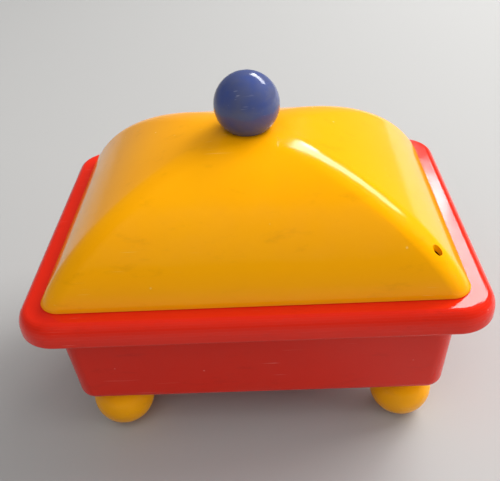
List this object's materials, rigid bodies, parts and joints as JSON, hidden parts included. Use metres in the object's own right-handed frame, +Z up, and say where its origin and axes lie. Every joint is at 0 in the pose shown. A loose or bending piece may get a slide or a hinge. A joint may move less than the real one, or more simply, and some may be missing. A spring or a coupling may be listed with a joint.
{
  "type": "lidded butter dish",
  "caption": "Rectangular butter dish: a rimmed moulded tray on ball feet under a vaulted lid that lifts off by a ball knob.",
  "frame": {"origin": "on the table, under the middle of the dish", "axes": "+X along the long side of the dish, +Y to the back, +Z up"},
  "size_m": [0.17, 0.133, 0.1354],
  "materials": {
    "red_plastic": "glossy moulded",
    "yellow_plastic": "glossy moulded",
    "blue_plastic": "glossy moulded",
    "brass": "turned",
    "steel": "plain stainless",
    "seal": "matt"
  },
  "bodies": {
    "base": {"tray": "red_plastic", "foot_front_left": "yellow_plastic", "foot_insert_front_left": "brass", "foot_washer_front_left": "seal", "foot_screw_front_left": "steel", "foot_front_right": "yellow_plastic", "foot_insert_front_right": "brass", "foot_washer_front_right": "seal", "foot_screw_front_right": "steel", "foot_rear_left": "yellow_plastic", "foot_insert_rear_left": "brass", "foot_washer_rear_left": "seal", "foot_screw_rear_left": "steel", "foot_rear_right": "yellow_plastic", "foot_insert_rear_right": "brass", "foot_washer_rear_right": "seal", "foot_screw_rear_right": "steel"},
    "cover": {"lid": "yellow_plastic", "knob": "blue_plastic", "knob_insert": "brass", "knob_washer": "seal", "knob_screw": "steel"}
  },
  "joints": [
    {"name": "lid_lift", "type": "slide", "parent": "base", "child": "cover", "axis": [0, 0, 1], "range_m": [0, 0.08]}
  ]
}
